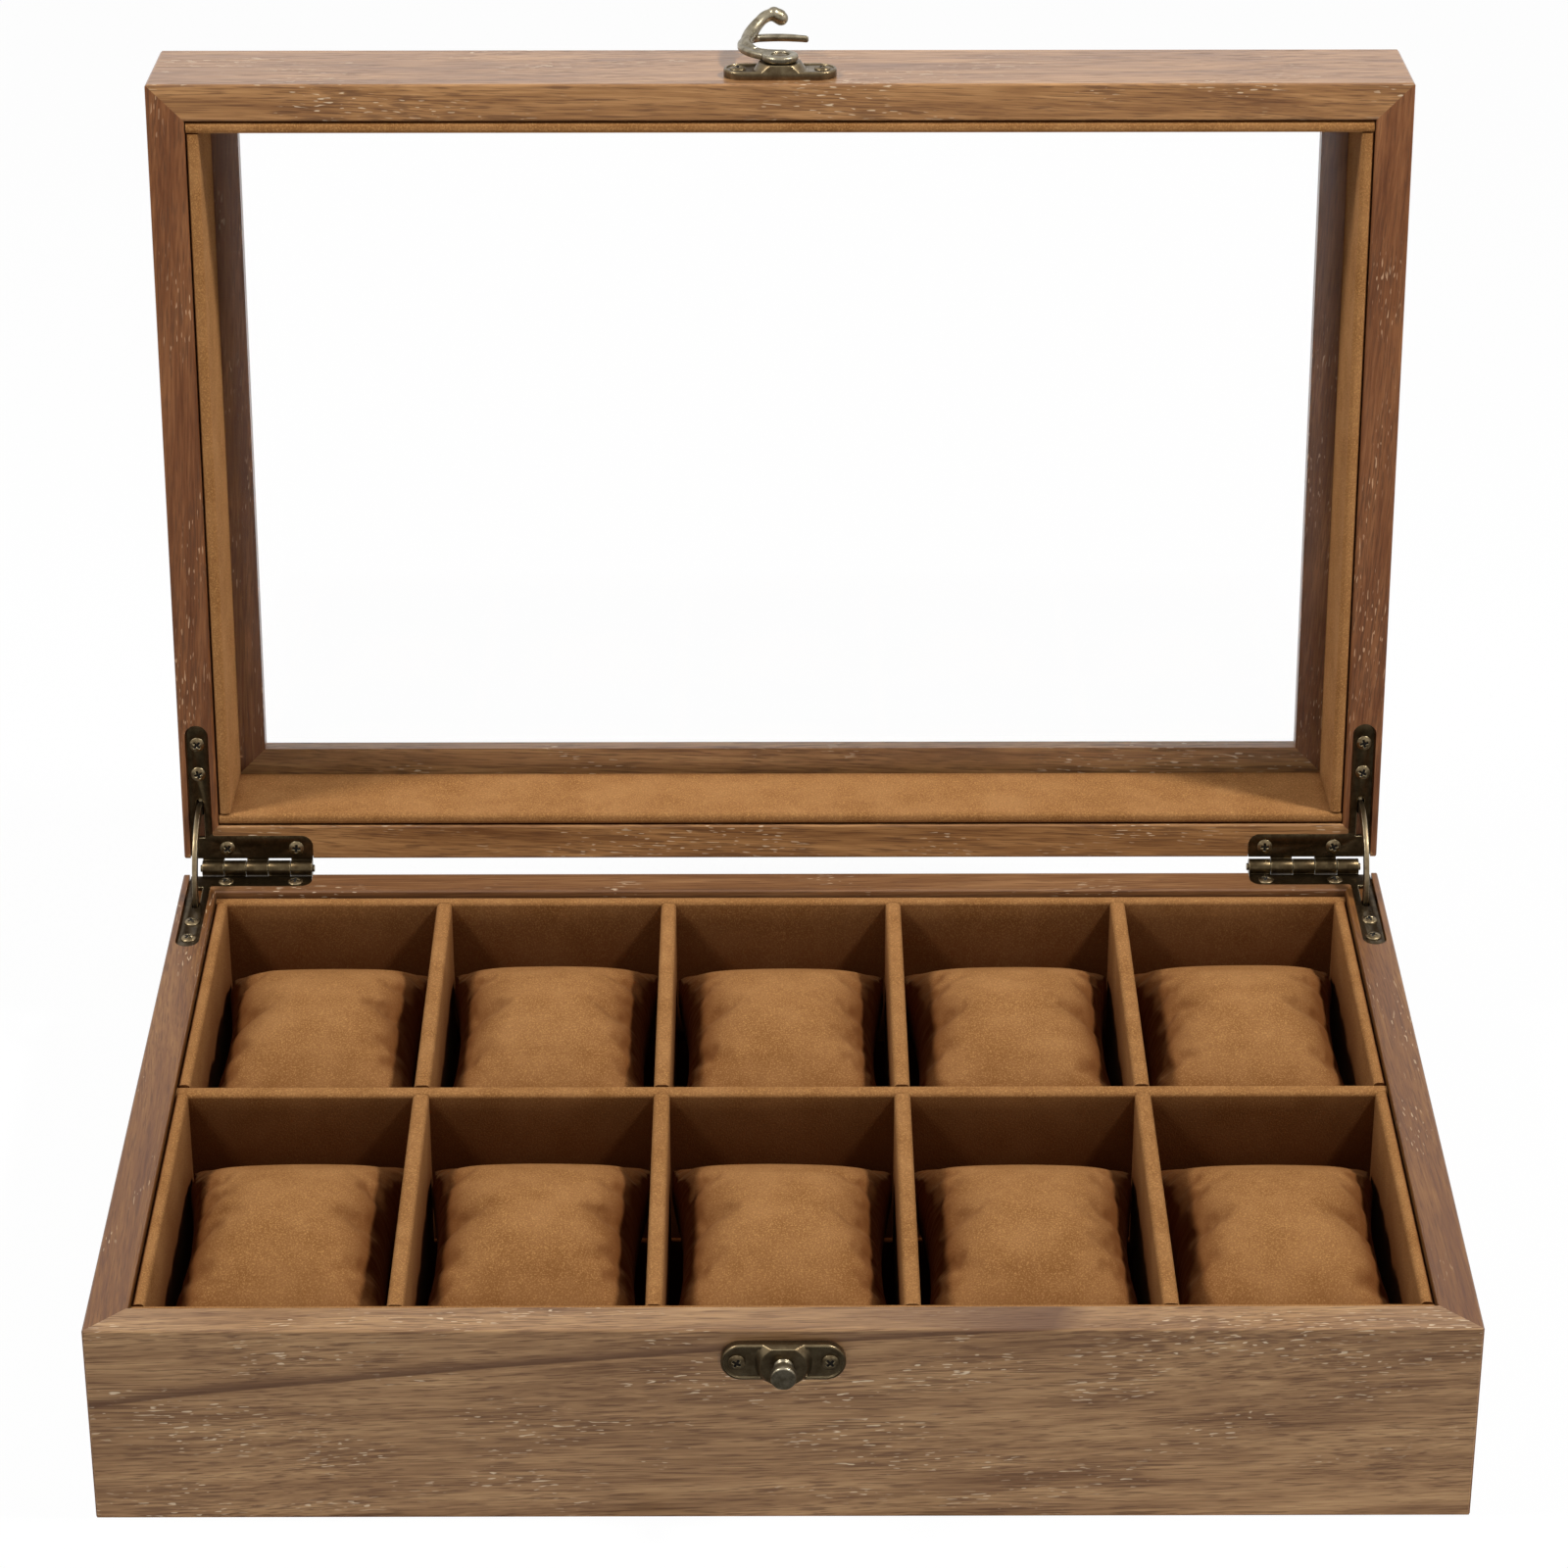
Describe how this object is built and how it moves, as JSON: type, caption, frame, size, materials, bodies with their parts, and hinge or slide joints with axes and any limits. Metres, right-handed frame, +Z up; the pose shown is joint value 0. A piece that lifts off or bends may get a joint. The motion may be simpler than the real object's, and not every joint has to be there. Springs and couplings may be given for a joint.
{
  "type": "watch box",
  "caption": "Hinged wooden watch box with a glazed lid, suede-lined compartments, loose watch pillows, quadrant hinges with curved stays and a swing hook clasp.",
  "frame": {"origin": "middle of the base's underside", "axes": "+X to the right seen from the front, +Y to the back, +Z up"},
  "size_m": [0.335, 0.291, 0.2903],
  "materials": {
    "walnut_veneer": "walnut veneer, satin lacquer",
    "tan_suede": "tan suede cloth, brushed nap",
    "pillow_suede": "tan suede cloth over foam",
    "antique_bronze": "dark antique bronze, worn edges",
    "clear_glass": "clear float glass",
    "fibre_board": "fibre board",
    "underside_felt": "brown felt"
  },
  "bodies": {
    "base": {"front_wall": "walnut_veneer", "back_wall": "walnut_veneer", "left_wall": "walnut_veneer", "right_wall": "walnut_veneer", "bottom_panel": "fibre_board", "base_felt": "underside_felt", "floor_lining": "tan_suede", "lining_front": "tan_suede", "lining_back": "tan_suede", "lining_left_front": "tan_suede", "lining_left_back": "tan_suede", "lining_right_front": "tan_suede", "lining_right_back": "tan_suede", "centre_divider": "tan_suede", "divider_front_1": "tan_suede", "divider_front_2": "tan_suede", "divider_front_3": "tan_suede", "divider_front_4": "tan_suede", "divider_back_1": "tan_suede", "divider_back_2": "tan_suede", "divider_back_3": "tan_suede", "divider_back_4": "tan_suede", "base_leaf_left": "antique_bronze", "base_leaf_right": "antique_bronze", "hinge_pin_left": "antique_bronze", "hinge_pin_right": "antique_bronze", "base_leaf_screws": "antique_bronze", "catch_plate": "antique_bronze", "catch_peg": "antique_bronze", "catch_plate_screws": "antique_bronze"},
    "lid": {"lid_front_rail": "walnut_veneer", "lid_back_rail": "walnut_veneer", "lid_left_rail": "walnut_veneer", "lid_right_rail": "walnut_veneer", "glass_pane": "clear_glass", "lid_lining_front": "tan_suede", "lid_lining_back": "tan_suede", "lid_lining_left": "tan_suede", "lid_lining_right": "tan_suede", "lid_leaf_left": "antique_bronze", "lid_leaf_right": "antique_bronze", "lid_leaf_screws": "antique_bronze", "clasp_plate": "antique_bronze", "clasp_rivet": "antique_bronze", "clasp_plate_screws": "antique_bronze"},
    "hook": {"swing_hook": "antique_bronze"},
    "stay_left": {"stay_left": "antique_bronze"},
    "stay_right": {"stay_right": "antique_bronze"},
    "pillow_front_1": {"pillow_front_1": "pillow_suede"},
    "pillow_front_2": {"pillow_front_2": "pillow_suede"},
    "pillow_front_3": {"pillow_front_3": "pillow_suede"},
    "pillow_front_4": {"pillow_front_4": "pillow_suede"},
    "pillow_front_5": {"pillow_front_5": "pillow_suede"},
    "pillow_back_1": {"pillow_back_1": "pillow_suede"},
    "pillow_back_2": {"pillow_back_2": "pillow_suede"},
    "pillow_back_3": {"pillow_back_3": "pillow_suede"},
    "pillow_back_4": {"pillow_back_4": "pillow_suede"},
    "pillow_back_5": {"pillow_back_5": "pillow_suede"}
  },
  "joints": [
    {"name": "lid_hinge", "type": "hinge", "parent": "base", "child": "lid", "pos_m": [0, 0.11435, 0.0552], "axis": [-1, 0, 0], "range_deg": [-95, 0]},
    {"name": "hook_swing", "type": "hinge", "parent": "lid", "child": "hook", "pos_m": [0, 0.143, 0.27941], "axis": [0, 0.0872, 0.9962], "range_deg": [-180, 45]},
    {"name": "stay_left_slide", "type": "hinge", "parent": "base", "child": "stay_left", "pos_m": [-0.1625, 0.11435, 0.0552], "axis": [-1, 0, 0], "range_deg": [-47.5, 0]},
    {"name": "stay_right_slide", "type": "hinge", "parent": "base", "child": "stay_right", "pos_m": [0.1625, 0.11435, 0.0552], "axis": [-1, 0, 0], "range_deg": [-47.5, 0]},
    {"name": "pillow_front_1_lift", "type": "slide", "parent": "base", "child": "pillow_front_1", "axis": [0, 0, 1], "range_m": [0, 0.06]},
    {"name": "pillow_front_2_lift", "type": "slide", "parent": "base", "child": "pillow_front_2", "axis": [0, 0, 1], "range_m": [0, 0.06]},
    {"name": "pillow_front_3_lift", "type": "slide", "parent": "base", "child": "pillow_front_3", "axis": [0, 0, 1], "range_m": [0, 0.06]},
    {"name": "pillow_front_4_lift", "type": "slide", "parent": "base", "child": "pillow_front_4", "axis": [0, 0, 1], "range_m": [0, 0.06]},
    {"name": "pillow_front_5_lift", "type": "slide", "parent": "base", "child": "pillow_front_5", "axis": [0, 0, 1], "range_m": [0, 0.06]},
    {"name": "pillow_back_1_lift", "type": "slide", "parent": "base", "child": "pillow_back_1", "axis": [0, 0, 1], "range_m": [0, 0.06]},
    {"name": "pillow_back_2_lift", "type": "slide", "parent": "base", "child": "pillow_back_2", "axis": [0, 0, 1], "range_m": [0, 0.06]},
    {"name": "pillow_back_3_lift", "type": "slide", "parent": "base", "child": "pillow_back_3", "axis": [0, 0, 1], "range_m": [0, 0.06]},
    {"name": "pillow_back_4_lift", "type": "slide", "parent": "base", "child": "pillow_back_4", "axis": [0, 0, 1], "range_m": [0, 0.06]},
    {"name": "pillow_back_5_lift", "type": "slide", "parent": "base", "child": "pillow_back_5", "axis": [0, 0, 1], "range_m": [0, 0.06]}
  ],
  "couplings": [
    {"joint": "stay_left_slide", "follows": "lid_hinge", "ratio": 0.5},
    {"joint": "stay_right_slide", "follows": "lid_hinge", "ratio": 0.5}
  ]
}
